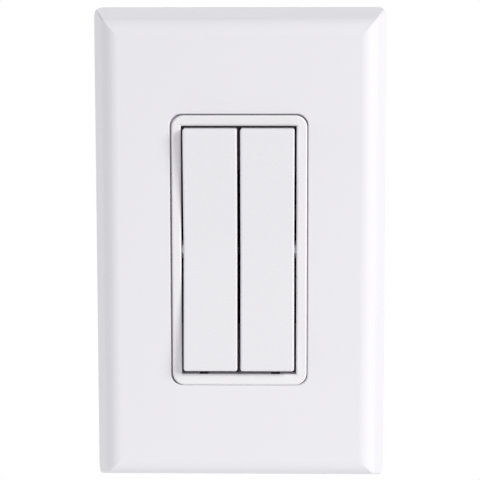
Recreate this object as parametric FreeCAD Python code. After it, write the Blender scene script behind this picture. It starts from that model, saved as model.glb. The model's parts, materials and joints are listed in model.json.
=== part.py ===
import FreeCAD, Part
import math
import os

# Wireless two-rocker wall switch that makes its own power, in millimetres.
# The front faces -Y, +Z is up, and the origin is the middle of the face that meets the wall.
# Depth is the distance from the wall towards the room: a point at depth d has y = -d.

# Wall plate: the outer cover, with rolled edges that meet in mitred corners
PLATE_WIDTH = 72.2
PLATE_HEIGHT = 118.0
PLATE_DEPTH = 12.5
PLATE_WALL = 2.0
PLATE_EDGE_R = 4.5
PLATE_DRAFT_DEG = 15.0
PLATE_CORNER_R = 2.3
PLATE_MITRE_R = 0.6
OPENING_WIDTH = 33.5
OPENING_HEIGHT = 66.77
OPENING_R = 2.7
OPENING_EDGE = 0.25
OPENING_X = -0.12
OPENING_Z = 0.095
PLATE_RIB = 1.2
PLATE_RIB_HEIGHT = 2.0
PLATE_RIB_START = 41.0
PLATE_RIB_SPACING = 15.0

# Mounting plate: screwed to the wall box, carries the frame and holds the wall plate on hooks
MOUNT_THICK = 1.8
MOUNT_GAP = 0.35
MOUNT_CORNER_R = 1.5
MOUNT_RIM = 1.2
MOUNT_RIM_HEIGHT = 1.6
BOX_SCREW_SPACING = 83.3
BOX_SCREW_HOLE_R = 2.1
BOX_BOSS_R = 4.0
BOX_BOSS_HEIGHT = 1.2
HOOK_Z = 30.0
HOOK_WIDTH = 8.0
HOOK_THICK = 1.2
HOOK_STEM = 2.6
HOOK_BARB = 0.6
HOOK_BARB_HEIGHT = 1.6
HOOK_GAP = 0.25
CATCH_HEIGHT = 1.2
CATCH_WIDTH = 10.0

# Rocker frame: bezel ring, flange behind the wall plate, posts, tabs that hold the module, pivot bearings
BEZEL_SIDE_GAP = 0.32
BEZEL_END_GAP = 0.2
BEZEL_R = 2.9
BEZEL_SIDE = 2.38
BEZEL_END = 2.58
BEZEL_PROUD = 0.4
BEZEL_EDGE = 0.35
WELL_X = -0.16
WELL_Z = 0.06
FLANGE_WIDTH = 46.0
FLANGE_HEIGHT = 75.2
FLANGE_THICK = 1.6
FLANGE_R = 3.0
FLANGE_RIB = 1.2
FLANGE_RIB_HEIGHT = 2.0
FLANGE_RIB_X = 21.4
POST_R = 2.7
POST_Z = 34.6
POST_PAD = 6.6
POST_PAD_HEIGHT = 1.0
TAB_WIDTH = 4.4
TAB_LENGTH = 5.0
TAB_LAP = 4.5
TAB_THICK = 0.9
NOTCH_X = 8.8
NOTCH_WIDTH = 2.2
NOTCH_DEEP = 0.7
NOTCH_BELOW_FRONT = 0.8

# Frame screws: pan heads sunk in the back of the mounting plate
SCREW_R = 1.1
SCREW_HEAD_R = 2.0
SCREW_HEAD_HEIGHT = 1.1
SCREW_HEAD_SUNK = 0.2
SCREW_GRIP = 5.4
SCREW_TIP_ROOM = 0.5
SCREW_CLEARANCE = 0.15
SCREW_THREAD_FIT = 0.02

# Rockers: two tall paddles, dished along their length
ROCKER_SIDE_GAP = 0.56
ROCKER_CENTRE_GAP = 0.8
ROCKER_END_GAP = 0.85
ROCKER_LIFT = 0.3
ROCKER_RISE = 2.5
ROCKER_ARC_HALF = 5.0
ROCKER_FACE = 1.5
ROCKER_WALL = 1.2
ROCKER_END_R = 1.0
ROCKER_SIDE_EDGE = 0.35
ROCKER_SKIRT_DEPTH = 9.9
ROCKER_END_SKIRT_DEPTH = 9.0
ROCKER_STEP_Z = 20.5
ROCKER_STEP_RUN = 1.5
ROCKER_HUB_DEPTH = 9.4
ROCKER_HUB_Z = 2.4
ROCKER_HUB_RUN = 0.6
PIVOT_DEPTH = 10.5
PIVOT_R = 1.0
PIVOT_FIT = 0.05
PIVOT_REACH = 1.4
PIVOT_END_PLAY = 0.2
INNER_PIVOT_R = 0.8
INNER_PIVOT_MEET = 0.1
SHOULDER_R = 1.4
EAR_THICK = 1.2
EAR_R = 1.55
EAR_GAP = 0.4
EAR_POCKET_HALF = 2.9
EAR_POCKET_ROOF = 0.7
FOOT_WIDTH = 3.0
FOOT_LENGTH = 2.0
NIPPLE_RIB_WIDTH = 2.4
NIPPLE_RIB_LENGTH = 1.2
ROCKER_CROSS_RIB = 1.0
CONTACT_GAP = 0.15

# Transmitter module: tray and cover
MODULE_SIZE = 37.0
MODULE_R = 1.2
TRAY_FLOOR = 0.8
TRAY_WALL = 1.0
MODULE_INSIDE = 4.9
COVER_THICK = 0.7
COVER_LIP = 0.8
COVER_LIP_HEIGHT = 0.9
COVER_FIT = 0.1
WINDOW_CLEAR = 0.5
RIVET_POCKET = 0.35
LOCATOR_LEG = 6.0
LOCATOR_THICK = 1.2
LOCATOR_HEIGHT = 2.5
LOCATOR_GAP = 0.1
TRAY_POST = 2.5

# Circuit board and what is soldered to it
BOARD_GAP = 0.2
BOARD_THICK = 0.8
BOARD_DEPTH = 4.2
BOARD_WINDOW_WIDTH = 13.0
BOARD_WINDOW_HEIGHT = 27.0
CHIP_SIZE = 4.0
CHIP_HEIGHT = 0.9
CAPACITOR_LENGTH = 3.2
CAPACITOR_WIDTH = 1.6
CAPACITOR_HEIGHT = 1.6
CAPACITOR_PITCH = 2.0
RECTIFIER_LENGTH = 3.0
RECTIFIER_WIDTH = 1.6
RECTIFIER_HEIGHT = 1.1
CRYSTAL_LENGTH = 3.2
CRYSTAL_WIDTH = 2.5
CRYSTAL_HEIGHT = 0.8
PARTS_SIDE = 5.7
PARTS_END = 2.7
ANTENNA_INSET = 0.8
ANTENNA_THICK = 0.5
ANTENNA_HEIGHT = 1.2
ANTENNA_BEND_R = 2.0
ANTENNA_TOP_Z = 9.5

# Silicone contact mats, one under each rocker
MAT_INNER = 2.8
MAT_SIDE_GAP = 1.55
MAT_PART_GAP = 0.3
MAT_THICK = 0.8
NIPPLE_INSET = 1.6
NIPPLE_END = 3.3
NIPPLE_R = 1.7
NIPPLE_TIP_DEPTH = 8.9
NIPPLE_HOLE_CLEAR = 0.3

# Generator: yoke, two coils, magnet and a see-saw armature on a pin
YOKE_WIDTH = 5.0
YOKE_THICK = 0.9
YOKE_DEPTH = 3.9
POLE_Z = 11.4
POLE_LENGTH = 2.4
POLE_FACE_DEPTH = 5.7
COIL_START_Z = 2.8
COIL_LENGTH = 7.0
BOBBIN_CORE = 0.3
BOBBIN_FLANGE = 0.5
WINDING_THICK = 0.5
WINDING_SIDE = 0.9
BOBBIN_RIM = 0.1
MAGNET_LENGTH = 4.4
MAGNET_THICK = 0.5
ARMATURE_THICK = 0.8
ARMATURE_DEPTH = 6.2
ARMATURE_WIDTH = 5.2
ARMATURE_HALF = 12.4
ARMATURE_SEAT_WIDTH = 7.2
ARMATURE_SEAT_HALF = 3.4
HUB_HALF = 1.2
HUB_DROP = 0.7
PIN_R = 0.4
PIN_FIT = 0.03
PIN_SEAT_FIT = 0.01
BEARING_X = 5.0
BEARING_THICK = 1.2
BEARING_HALF = 1.3
BEARING_COVER = 0.25

# Energy bow: leaf spring with four fingers, riveted to the armature
BOW_THICK = 0.25
BOW_HALF = 3.0
FINGER_X = 7.0
FINGER_WIDTH = 3.6
FINGER_BEND_Z = 4.0
FINGER_TIP_START = 13.6
FINGER_TIP_END = 16.2
FINGER_TIP_DEPTH = 9.0
RIVET_Z = 2.1
RIVET_R = 0.4
RIVET_FIT = 0.02
RIVET_HEAD_R = 0.75
RIVET_HEAD_HEIGHT = 0.2

# Places worked out from the sizes above
DRAFT = math.radians(PLATE_DRAFT_DEG)
PLATE_INNER_DEPTH = PLATE_DEPTH - PLATE_WALL
BEZEL_FRONT = PLATE_DEPTH + BEZEL_PROUD
BEZEL_WIDTH = OPENING_WIDTH - 2 * BEZEL_SIDE_GAP
BEZEL_HEIGHT = OPENING_HEIGHT - 2 * BEZEL_END_GAP
WELL_WIDTH = BEZEL_WIDTH - 2 * BEZEL_SIDE
WELL_HEIGHT = BEZEL_HEIGHT - 2 * BEZEL_END
FLANGE_BACK = PLATE_INNER_DEPTH - FLANGE_THICK
POST_SEAT = MOUNT_THICK + POST_PAD_HEIGHT
TRAY_TOP = MOUNT_THICK + TRAY_FLOOR
COVER_BACK = TRAY_TOP + MODULE_INSIDE
COVER_FRONT = COVER_BACK + COVER_THICK
BOARD_FRONT = BOARD_DEPTH + BOARD_THICK
BOARD_SIZE = MODULE_SIZE - 2 * TRAY_WALL - 2 * BOARD_GAP
PARTS_X = BOARD_SIZE / 2 - PARTS_SIDE
PARTS_Z = BOARD_SIZE / 2 - PARTS_END
ANTENNA_SPAN = BOARD_SIZE - 2 * ANTENNA_INSET
MAT_FRONT = BOARD_FRONT + MAT_THICK
MAT_HALF = PARTS_Z - CHIP_SIZE / 2 - MAT_PART_GAP
MAT_STOP = (ANTENNA_SPAN - ANTENNA_THICK) / 2 - MAT_SIDE_GAP
NIPPLE_Z = MAT_HALF - NIPPLE_END
YOKE_FRONT = YOKE_DEPTH + YOKE_THICK
ARMATURE_FRONT = ARMATURE_DEPTH + ARMATURE_THICK
PIN_HALF = BEARING_X + BEARING_THICK / 2
BOW_FRONT = ARMATURE_FRONT + BOW_THICK
FOOT_Z = (FINGER_TIP_START + FINGER_TIP_END) / 2
ROCKER_X0 = ROCKER_CENTRE_GAP / 2
ROCKER_X1 = WELL_WIDTH / 2 - ROCKER_SIDE_GAP
ROCKER_Z = WELL_Z + ROCKER_LIFT
NIPPLE_X = ROCKER_X1 - NIPPLE_INSET
ROCKER_HALF = WELL_HEIGHT / 2 - ROCKER_END_GAP
ROCKER_ARC_R = ROCKER_ARC_HALF * (ROCKER_HALF - ROCKER_ARC_HALF / 2) / ROCKER_RISE

ORIGIN = FreeCAD.Vector(0, 0, 0)
ALONG_X = FreeCAD.Vector(1, 0, 0)
ALONG_Z = FreeCAD.Vector(0, 0, 1)
TO_ROOM = FreeCAD.Vector(0, -1, 0)
BEYOND = 2 * PLATE_DEPTH
TOUCH = 1e-5


def point(x, depth, z):
    return FreeCAD.Vector(x, -depth, z)


def block(x0, x1, depth0, depth1, z0, z1):
    """Rectangular block between two opposite corners."""
    return Part.makeBox(x1 - x0, depth1 - depth0, z1 - z0, point(x0, depth1, z0))


def slab(width, height, depth0, depth1, radius=0.0, x=0.0, z=0.0):
    """Plate parallel to the wall, centred on x and z, with its four corners rounded."""
    body = block(x - width / 2, x + width / 2, depth0, depth1, z - height / 2, z + height / 2)
    if radius:
        corners = [e for e in body.Edges if e.BoundBox.YLength > TOUCH]
        body = body.makeFillet(radius, corners)
    return body


def rod(radius, depth0, depth1, x=0.0, z=0.0):
    """Round bar that stands out from the wall."""
    return Part.makeCylinder(radius, depth1 - depth0, point(x, depth0, z), TO_ROOM)


def axle(radius, x0, x1, depth, z=0.0):
    """Round bar along X."""
    return Part.makeCylinder(radius, x1 - x0, point(x0, depth, z), ALONG_X)


def join(body, *more):
    return body.fuse(list(more)).removeSplitter()


def cut(body, *tools):
    return body.cut(list(tools))


def left_and_right(shape):
    return [shape, shape.mirror(ORIGIN, ALONG_X)]


def up_and_down(shape):
    return [shape, shape.mirror(ORIGIN, ALONG_Z)]


def four_quarters(shape):
    return [s for half in left_and_right(shape) for s in up_and_down(half)]


def edges_at_depth(body, depth):
    """Edges that lie in one plane parallel to the wall."""
    y = -depth
    return [e for e in body.Edges if max(abs(e.BoundBox.YMin - y), abs(e.BoundBox.YMax - y)) < TOUCH]


def face_from(corners):
    return Part.Face(Part.makePolygon(corners + corners[:1]))


def inner_half_width(depth):
    """Half the clear width inside the wall plate at a depth."""
    return PLATE_WIDTH / 2 - PLATE_WALL / math.cos(DRAFT) - depth * math.tan(DRAFT)


def inner_half_height(depth):
    return inner_half_width(depth) + (PLATE_HEIGHT - PLATE_WIDTH) / 2


# Wall plate
def rolled_prism(span, length, inset, back, place, sweep):
    """Bar with drafted sides that roll over into a flat front, set in all round by one wall."""
    radius = PLATE_EDGE_R - inset
    front = PLATE_DEPTH - inset
    half = span / 2 - inset / math.cos(DRAFT)
    roll_depth = front - radius
    side_depth = roll_depth + radius * math.sin(DRAFT)
    roll_u = half - radius * math.cos(DRAFT) - side_depth * math.tan(DRAFT)
    middle = (math.pi / 2 + DRAFT) / 2
    foot = (half - back * math.tan(DRAFT), back)
    side = (roll_u + radius * math.cos(DRAFT), side_depth)
    roll = (roll_u + radius * math.cos(middle), roll_depth + radius * math.sin(middle))
    top = (roll_u, front)
    right = [place(*p) for p in (foot, side, roll, top)]
    left = [place(-p[0], p[1]) for p in (foot, side, roll, top)]
    edges = [
        Part.makeLine(right[0], right[1]),
        Part.Arc(right[1], right[2], right[3]).toShape(),
        Part.makeLine(right[3], left[3]),
        Part.Arc(left[3], left[2], left[1]).toShape(),
        Part.makeLine(left[1], left[0]),
        Part.makeLine(left[0], right[0]),
    ]
    return Part.Face(Part.Wire(edges)).extrude(sweep * length)


def rolled_body(inset, back):
    """Block with all four edges rolled; the rolls meet in mitres at the corners."""
    reach_x = PLATE_WIDTH + BEYOND
    reach_z = PLATE_HEIGHT + BEYOND
    upright = rolled_prism(
        PLATE_WIDTH, reach_z, inset, back, lambda u, d: point(u, d, -reach_z / 2), ALONG_Z)
    level = rolled_prism(
        PLATE_HEIGHT, reach_x, inset, back, lambda u, d: point(-reach_x / 2, d, u), ALONG_X)
    return upright.common(level)


def wall_plate():
    outer = rolled_body(0.0, 0.0)
    mitres = [e for e in outer.Edges if e.BoundBox.YLength > TOUCH]
    outer = outer.makeFillet(PLATE_MITRE_R, mitres)
    outer = outer.common(slab(PLATE_WIDTH, PLATE_HEIGHT, 0, BEYOND, PLATE_CORNER_R))
    shell = cut(outer, rolled_body(PLATE_WALL, -PLATE_WALL))
    opening = slab(OPENING_WIDTH, OPENING_HEIGHT, 0, BEYOND, OPENING_R, OPENING_X, OPENING_Z)
    shell = cut(shell, opening)
    rim = [e for e in edges_at_depth(shell, PLATE_DEPTH) if e.distToShape(opening)[0] < TOUCH]
    shell = shell.makeChamfer(OPENING_EDGE, rim)
    return join(shell, *plate_catches(), *plate_ribs())


def plate_catches():
    """Ledges inside the long sides that the mounting plate's hooks hold."""
    top = MOUNT_THICK + HOOK_STEM
    middle = top - CATCH_HEIGHT / 2
    reach = hook_face() + HOOK_GAP
    ledge = block(
        reach, inner_half_width(middle) + PLATE_WALL / 2, top - CATCH_HEIGHT, top,
        HOOK_Z - CATCH_WIDTH / 2, HOOK_Z + CATCH_WIDTH / 2)
    return four_quarters(ledge)


def plate_ribs():
    """Stiffening ribs behind the blank ends of the plate."""
    inside = rolled_body(PLATE_WALL / 2, 0.0)
    ribs = []
    for x in (-PLATE_RIB_SPACING, 0.0, PLATE_RIB_SPACING):
        rib = block(
            x - PLATE_RIB / 2, x + PLATE_RIB / 2, PLATE_INNER_DEPTH - PLATE_RIB_HEIGHT,
            PLATE_INNER_DEPTH + PLATE_WALL / 2, PLATE_RIB_START, PLATE_HEIGHT / 2)
        ribs += up_and_down(rib.common(inside))
    return ribs


# Mounting plate
def hook_face():
    """Outer face of the hook stems."""
    return inner_half_width(MOUNT_THICK + HOOK_STEM + HOOK_BARB_HEIGHT) - HOOK_BARB - HOOK_GAP


def mount_hook():
    face = hook_face()
    foot = MOUNT_THICK
    ledge = foot + HOOK_STEM
    top = ledge + HOOK_BARB_HEIGHT
    outline = [
        point(face - HOOK_THICK, foot, HOOK_Z - HOOK_WIDTH / 2),
        point(face, foot, HOOK_Z - HOOK_WIDTH / 2),
        point(face, ledge, HOOK_Z - HOOK_WIDTH / 2),
        point(face + HOOK_BARB, ledge, HOOK_Z - HOOK_WIDTH / 2),
        point(face, top, HOOK_Z - HOOK_WIDTH / 2),
        point(face - HOOK_THICK, top, HOOK_Z - HOOK_WIDTH / 2),
    ]
    return face_from(outline).extrude(ALONG_Z * HOOK_WIDTH)


def module_locator():
    """Corner bracket that keeps the module from sliding."""
    start = MODULE_SIZE / 2 + LOCATOR_GAP
    stop = start + LOCATOR_THICK
    top = MOUNT_THICK + LOCATOR_HEIGHT
    upright = block(start, stop, MOUNT_THICK, top, stop - LOCATOR_LEG, stop)
    level = block(stop - LOCATOR_LEG, stop, MOUNT_THICK, top, start, stop)
    return join(upright, level)


def mounting_plate():
    width = 2 * (inner_half_width(MOUNT_THICK) - MOUNT_GAP)
    height = 2 * (inner_half_height(MOUNT_THICK) - MOUNT_GAP)
    plate = slab(width, height, 0, MOUNT_THICK, MOUNT_CORNER_R)
    rim_top = MOUNT_THICK + MOUNT_RIM_HEIGHT
    rim_inset = 2 * (MOUNT_GAP + MOUNT_RIM_HEIGHT * math.tan(DRAFT))
    rim = cut(
        slab(width - rim_inset, height - rim_inset, MOUNT_THICK, rim_top, MOUNT_CORNER_R),
        slab(width - rim_inset - 2 * MOUNT_RIM, height - rim_inset - 2 * MOUNT_RIM, 0, BEYOND),
    )
    hook_room = four_quarters(
        block(hook_face() - 2 * HOOK_THICK, PLATE_WIDTH, MOUNT_THICK, BEYOND,
              HOOK_Z - CATCH_WIDTH / 2 - HOOK_GAP, HOOK_Z + CATCH_WIDTH / 2 + HOOK_GAP))
    rim = cut(rim, *hook_room)
    box_z = BOX_SCREW_SPACING / 2
    raised = up_and_down(rod(BOX_BOSS_R, MOUNT_THICK, MOUNT_THICK + BOX_BOSS_HEIGHT, 0, box_z))
    raised += up_and_down(slab(POST_PAD, POST_PAD, MOUNT_THICK, POST_SEAT, z=POST_Z))
    raised += four_quarters(mount_hook()) + four_quarters(module_locator())
    holes = up_and_down(rod(BOX_SCREW_HOLE_R, -BEYOND, BEYOND, 0, box_z))
    sunk = SCREW_HEAD_HEIGHT + SCREW_HEAD_SUNK
    holes += up_and_down(rod(SCREW_HEAD_R + SCREW_CLEARANCE, -BEYOND, sunk, 0, POST_Z))
    holes += up_and_down(rod(SCREW_R + SCREW_CLEARANCE, -BEYOND, BEYOND, 0, POST_Z))
    return cut(join(plate, rim, *raised), *holes)


# Rocker frame
def rocker_frame():
    ring = slab(BEZEL_WIDTH, BEZEL_HEIGHT, FLANGE_BACK, BEZEL_FRONT, BEZEL_R)
    well = slab(WELL_WIDTH, WELL_HEIGHT, 0, BEYOND, x=WELL_X, z=WELL_Z)
    ring = cut(ring, well)
    ring = ring.makeChamfer(BEZEL_EDGE, edges_at_depth(ring, BEZEL_FRONT))
    flange = slab(FLANGE_WIDTH, FLANGE_HEIGHT, FLANGE_BACK, PLATE_INNER_DEPTH, FLANGE_R)
    flange = cut(flange, well)
    posts = up_and_down(rod(POST_R, POST_SEAT, FLANGE_BACK, 0, POST_Z))
    frame = join(ring, flange, *posts, *flange_ribs(), *module_tabs())
    pilot = POST_SEAT + SCREW_GRIP + SCREW_TIP_ROOM
    pilots = up_and_down(rod(SCREW_R + SCREW_THREAD_FIT, 0, pilot, 0, POST_Z))
    return cut(frame, *pilots, *pivot_bores(), *pry_notches())


def flange_ribs():
    """Ribs behind the flange, two of them between the posts and the corners."""
    back = FLANGE_BACK - FLANGE_RIB_HEIGHT
    half = FLANGE_RIB / 2
    edge = FLANGE_RIB_X + half
    upright = block(FLANGE_RIB_X - half, edge, back, FLANGE_BACK, -POST_Z, POST_Z)
    level = block(-edge, edge, back, FLANGE_BACK, POST_Z - half, POST_Z + half)
    return left_and_right(upright) + up_and_down(level)


def module_tabs():
    """Tabs at both sides of the well that hold the module down."""
    half = TAB_WIDTH / 2
    edge = WELL_WIDTH / 2
    tab = block(edge - TAB_LENGTH, edge + TAB_LAP, COVER_FRONT, COVER_FRONT + TAB_THICK, -half, half)
    return left_and_right(tab)


def pivot_bores():
    start = WELL_WIDTH / 2 - ROCKER_SIDE_GAP
    end = WELL_WIDTH / 2 + PIVOT_REACH + PIVOT_END_PLAY
    bore = axle(PIVOT_R + PIVOT_FIT, start, end, PIVOT_DEPTH)
    return [seated(b) for b in left_and_right(bore)]


def pry_notches():
    """Hollows in the lower wall of the well that take a blade under each rocker."""
    edge = WELL_Z - WELL_HEIGHT / 2
    notch = block(
        NOTCH_X - NOTCH_WIDTH / 2, NOTCH_X + NOTCH_WIDTH / 2, 0, BEZEL_FRONT - NOTCH_BELOW_FRONT,
        edge - NOTCH_DEEP, edge + NOTCH_DEEP)
    return left_and_right(notch)


def frame_screws():
    seat = SCREW_HEAD_SUNK + SCREW_HEAD_HEIGHT
    head = rod(SCREW_HEAD_R, SCREW_HEAD_SUNK, seat, 0, POST_Z)
    shank = rod(SCREW_R, seat, POST_SEAT + SCREW_GRIP, 0, POST_Z)
    return Part.makeCompound(up_and_down(join(head, shank)))


# Rockers
def seated(shape):
    """Place of the rockers and their bearings in the well, a little off its middle."""
    return shape.translated(FreeCAD.Vector(WELL_X, 0, ROCKER_Z))


def dished_bar(x0, x1, half, drop, floor):
    """Bar along Z whose front is an arc in the middle and runs straight on to both ends."""
    arc_half = ROCKER_ARC_HALF
    flat = math.sqrt(ROCKER_ARC_R ** 2 - arc_half ** 2)
    low = BEZEL_FRONT - drop
    shoulder = low + ROCKER_ARC_R - flat
    end = shoulder + (half - arc_half) * arc_half / flat
    edges = [
        Part.makeLine(point(x0, end, -half), point(x0, shoulder, -arc_half)),
        Part.Arc(point(x0, shoulder, -arc_half), point(x0, low, 0), point(x0, shoulder, arc_half)).toShape(),
        Part.makeLine(point(x0, shoulder, arc_half), point(x0, end, half)),
    ]
    corners = [point(x0, end, half)]
    corners += [point(x0, depth, z) for z, depth in floor]
    corners += [point(x0, depth, -z) for z, depth in reversed(floor)]
    corners += [point(x0, end, -half)]
    edges += [Part.makeLine(a, b) for a, b in zip(corners, corners[1:])]
    return Part.Face(Part.Wire(edges)).extrude(ALONG_X * (x1 - x0))


def rocker_blank():
    """Solid rocker with its skirts stepped up over the module and down again at the pivot."""
    floor = [
        (ROCKER_HALF, ROCKER_END_SKIRT_DEPTH),
        (ROCKER_STEP_Z + ROCKER_STEP_RUN, ROCKER_END_SKIRT_DEPTH),
        (ROCKER_STEP_Z, ROCKER_SKIRT_DEPTH),
        (ROCKER_HUB_Z + ROCKER_HUB_RUN, ROCKER_SKIRT_DEPTH),
        (ROCKER_HUB_Z, ROCKER_HUB_DEPTH),
    ]
    blank = dished_bar(ROCKER_X0, ROCKER_X1, ROCKER_HALF, 0.0, floor)
    end_depth = max(-v.Y for v in blank.Vertexes)
    ends = edges_at_depth(blank, end_depth)
    blank = blank.makeFillet(ROCKER_END_R, ends)
    sides = [e for e in blank.Edges if e.BoundBox.XLength < TOUCH and -e.CenterOfMass.y > PIVOT_DEPTH]
    return blank.makeChamfer(ROCKER_SIDE_EDGE, sides)


def rocker_body():
    blank = rocker_blank()
    inside_half = ROCKER_HALF - ROCKER_WALL
    hollow = dished_bar(
        ROCKER_X0 + ROCKER_WALL, ROCKER_X1 - ROCKER_WALL, inside_half, ROCKER_FACE, [(inside_half, 0.0)])
    pocket_x = EAR_THICK / 2 + EAR_GAP
    roof = BEZEL_FRONT - EAR_POCKET_ROOF
    pad_half = EAR_POCKET_HALF + ROCKER_WALL
    pad = block(
        ROCKER_X0 + ROCKER_SIDE_EDGE, pocket_x + ROCKER_WALL, ROCKER_SKIRT_DEPTH, roof, -pad_half, pad_half)
    pocket = block(-ROCKER_X0, pocket_x, 0, roof, -EAR_POCKET_HALF, EAR_POCKET_HALF)
    body = cut(join(cut(blank, hollow), pad, *rocker_feet()), pocket)
    return join(body, *rocker_pins(pocket_x))


def rocker_right():
    return seated(rocker_body())


def rocker_left():
    return seated(rocker_body().mirror(ORIGIN, ALONG_X))


def rocker_feet():
    """Under the face: feet over the bow's fingers, ribs over the nipples and stiffening ribs."""
    foot = block(
        FINGER_X - FOOT_WIDTH / 2, FINGER_X + FOOT_WIDTH / 2, FINGER_TIP_DEPTH + CONTACT_GAP, BEZEL_FRONT,
        FOOT_Z - FOOT_LENGTH / 2, FOOT_Z + FOOT_LENGTH / 2)
    nipple_rib = block(
        NIPPLE_X - NIPPLE_RIB_WIDTH / 2, ROCKER_X1 - ROCKER_WALL / 2, NIPPLE_TIP_DEPTH + CONTACT_GAP,
        BEZEL_FRONT, NIPPLE_Z - NIPPLE_RIB_LENGTH / 2, NIPPLE_Z + NIPPLE_RIB_LENGTH / 2)
    shapes = [foot, nipple_rib]
    for z in (NIPPLE_Z, FOOT_Z, ROCKER_STEP_Z + ROCKER_STEP_RUN):
        shapes.append(block(
            ROCKER_X0 + ROCKER_WALL / 2, ROCKER_X1 - ROCKER_WALL / 2, ROCKER_SKIRT_DEPTH + ROCKER_WALL,
            BEZEL_FRONT, z - ROCKER_CROSS_RIB / 2, z + ROCKER_CROSS_RIB / 2))
    return [s for shape in shapes for s in up_and_down(shape)]


def rocker_pins(pocket_x):
    """Trunnions at both sides, the outer one on a shoulder that keeps the rocker centred."""
    inner = axle(INNER_PIVOT_R, INNER_PIVOT_MEET, pocket_x + ROCKER_WALL / 2, PIVOT_DEPTH)
    start = ROCKER_X1 - ROCKER_WALL / 2
    outer = axle(PIVOT_R, start, WELL_WIDTH / 2 + PIVOT_REACH, PIVOT_DEPTH)
    shoulder = axle(SHOULDER_R, start, WELL_WIDTH / 2 - PIVOT_END_PLAY, PIVOT_DEPTH)
    below = block(0, WELL_WIDTH, 0, ROCKER_HUB_DEPTH, -BEYOND, BEYOND)
    return [inner, outer, cut(shoulder, below)]


# Transmitter module
def module_tray():
    inner = MODULE_SIZE - 2 * TRAY_WALL
    tray = slab(MODULE_SIZE, MODULE_SIZE, MOUNT_THICK, COVER_BACK, MODULE_R)
    tray = cut(tray, slab(inner, inner, TRAY_TOP, BEYOND))
    post_at = inner / 2 - TRAY_POST / 2
    posts = four_quarters(slab(TRAY_POST, TRAY_POST, TRAY_TOP, BOARD_DEPTH, x=post_at, z=post_at))
    pads = up_and_down(slab(YOKE_WIDTH, POLE_LENGTH, TRAY_TOP, YOKE_DEPTH, z=POLE_Z))
    bearing_top = ARMATURE_DEPTH + PIN_R + BEARING_COVER
    bearings = left_and_right(
        slab(BEARING_THICK, 2 * BEARING_HALF, TRAY_TOP, bearing_top, x=BEARING_X))
    tray = join(tray, *posts, *pads, *bearings)
    return cut(tray, axle(PIN_R + PIN_SEAT_FIT, -PIN_HALF, PIN_HALF, ARMATURE_DEPTH))


def module_cover():
    lip_outer = MODULE_SIZE - 2 * (TRAY_WALL + COVER_FIT)
    lip_inner = lip_outer - 2 * COVER_LIP
    lip = cut(
        slab(lip_outer, lip_outer, COVER_BACK - COVER_LIP_HEIGHT, COVER_BACK),
        slab(lip_inner, lip_inner, 0, BEYOND),
    )
    cover = join(slab(MODULE_SIZE, MODULE_SIZE, COVER_BACK, COVER_FRONT, MODULE_R), lip)
    window_end = FINGER_TIP_END + 2 * WINDOW_CLEAR
    window = slab(
        FINGER_WIDTH + 2 * WINDOW_CLEAR, window_end - FINGER_BEND_Z, COVER_BACK, COVER_FRONT,
        x=FINGER_X, z=(window_end + FINGER_BEND_Z) / 2)
    hole_size = 2 * (NIPPLE_R + NIPPLE_HOLE_CLEAR)
    hole = slab(hole_size, hole_size, COVER_BACK, COVER_FRONT, x=NIPPLE_X, z=NIPPLE_Z)
    pocket = slab(
        2 * (RIVET_HEAD_R + WINDOW_CLEAR), 2 * (RIVET_Z + RIVET_HEAD_R + WINDOW_CLEAR),
        COVER_BACK, COVER_BACK + RIVET_POCKET)
    return join(cut(cover, *four_quarters(window), *four_quarters(hole), pocket), pivot_ear())


def pivot_ear():
    """Ear between the rockers that bears the inner pins of both."""
    half = EAR_THICK / 2
    stem = block(-half, half, COVER_FRONT, PIVOT_DEPTH, -EAR_R, EAR_R)
    bore = axle(INNER_PIVOT_R + PIVOT_FIT, -EAR_THICK, EAR_THICK, PIVOT_DEPTH)
    return seated(cut(join(stem, axle(EAR_R, -half, half, PIVOT_DEPTH)), bore))


def circuit_board():
    board = slab(BOARD_SIZE, BOARD_SIZE, BOARD_DEPTH, BOARD_FRONT, MODULE_R)
    return cut(board, slab(BOARD_WINDOW_WIDTH, BOARD_WINDOW_HEIGHT, 0, BEYOND))


def on_board(width, height, tall, x, z):
    return slab(width, height, BOARD_FRONT, BOARD_FRONT + tall, x=x, z=z)


def radio_chip():
    return on_board(CHIP_SIZE, CHIP_SIZE, CHIP_HEIGHT, PARTS_X, PARTS_Z)


def storage_capacitors():
    above = on_board(
        CAPACITOR_LENGTH, CAPACITOR_WIDTH, CAPACITOR_HEIGHT, -PARTS_X, PARTS_Z + CAPACITOR_PITCH / 2)
    below = on_board(
        CAPACITOR_LENGTH, CAPACITOR_WIDTH, CAPACITOR_HEIGHT, -PARTS_X, PARTS_Z - CAPACITOR_PITCH / 2)
    return Part.makeCompound([above, below])


def rectifier():
    return on_board(RECTIFIER_LENGTH, RECTIFIER_WIDTH, RECTIFIER_HEIGHT, -PARTS_X, -PARTS_Z)


def crystal():
    return on_board(CRYSTAL_LENGTH, CRYSTAL_WIDTH, CRYSTAL_HEIGHT, PARTS_X, -PARTS_Z)


def antenna():
    """Flat strip on edge, bent round three sides of the board."""
    top = BOARD_FRONT + ANTENNA_HEIGHT
    outside = ANTENNA_SPAN + ANTENNA_THICK
    inside = ANTENNA_SPAN - ANTENNA_THICK
    half = ANTENNA_THICK / 2
    outer = slab(outside, outside, BOARD_FRONT, top, ANTENNA_BEND_R + half)
    inner = slab(inside, inside, 0, BEYOND, ANTENNA_BEND_R - half)
    above = block(-BOARD_SIZE, BOARD_SIZE, 0, BEYOND, ANTENNA_TOP_Z, BOARD_SIZE)
    return cut(outer, inner, above)


def contact_mat_right():
    """Silicone strip with two nipples that the rocker presses."""
    strip = block(NIPPLE_X - MAT_INNER, MAT_STOP, BOARD_FRONT, MAT_FRONT, -MAT_HALF, MAT_HALF)
    return join(strip, *up_and_down(rod(NIPPLE_R, BOARD_FRONT, NIPPLE_TIP_DEPTH, NIPPLE_X, NIPPLE_Z)))


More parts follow.
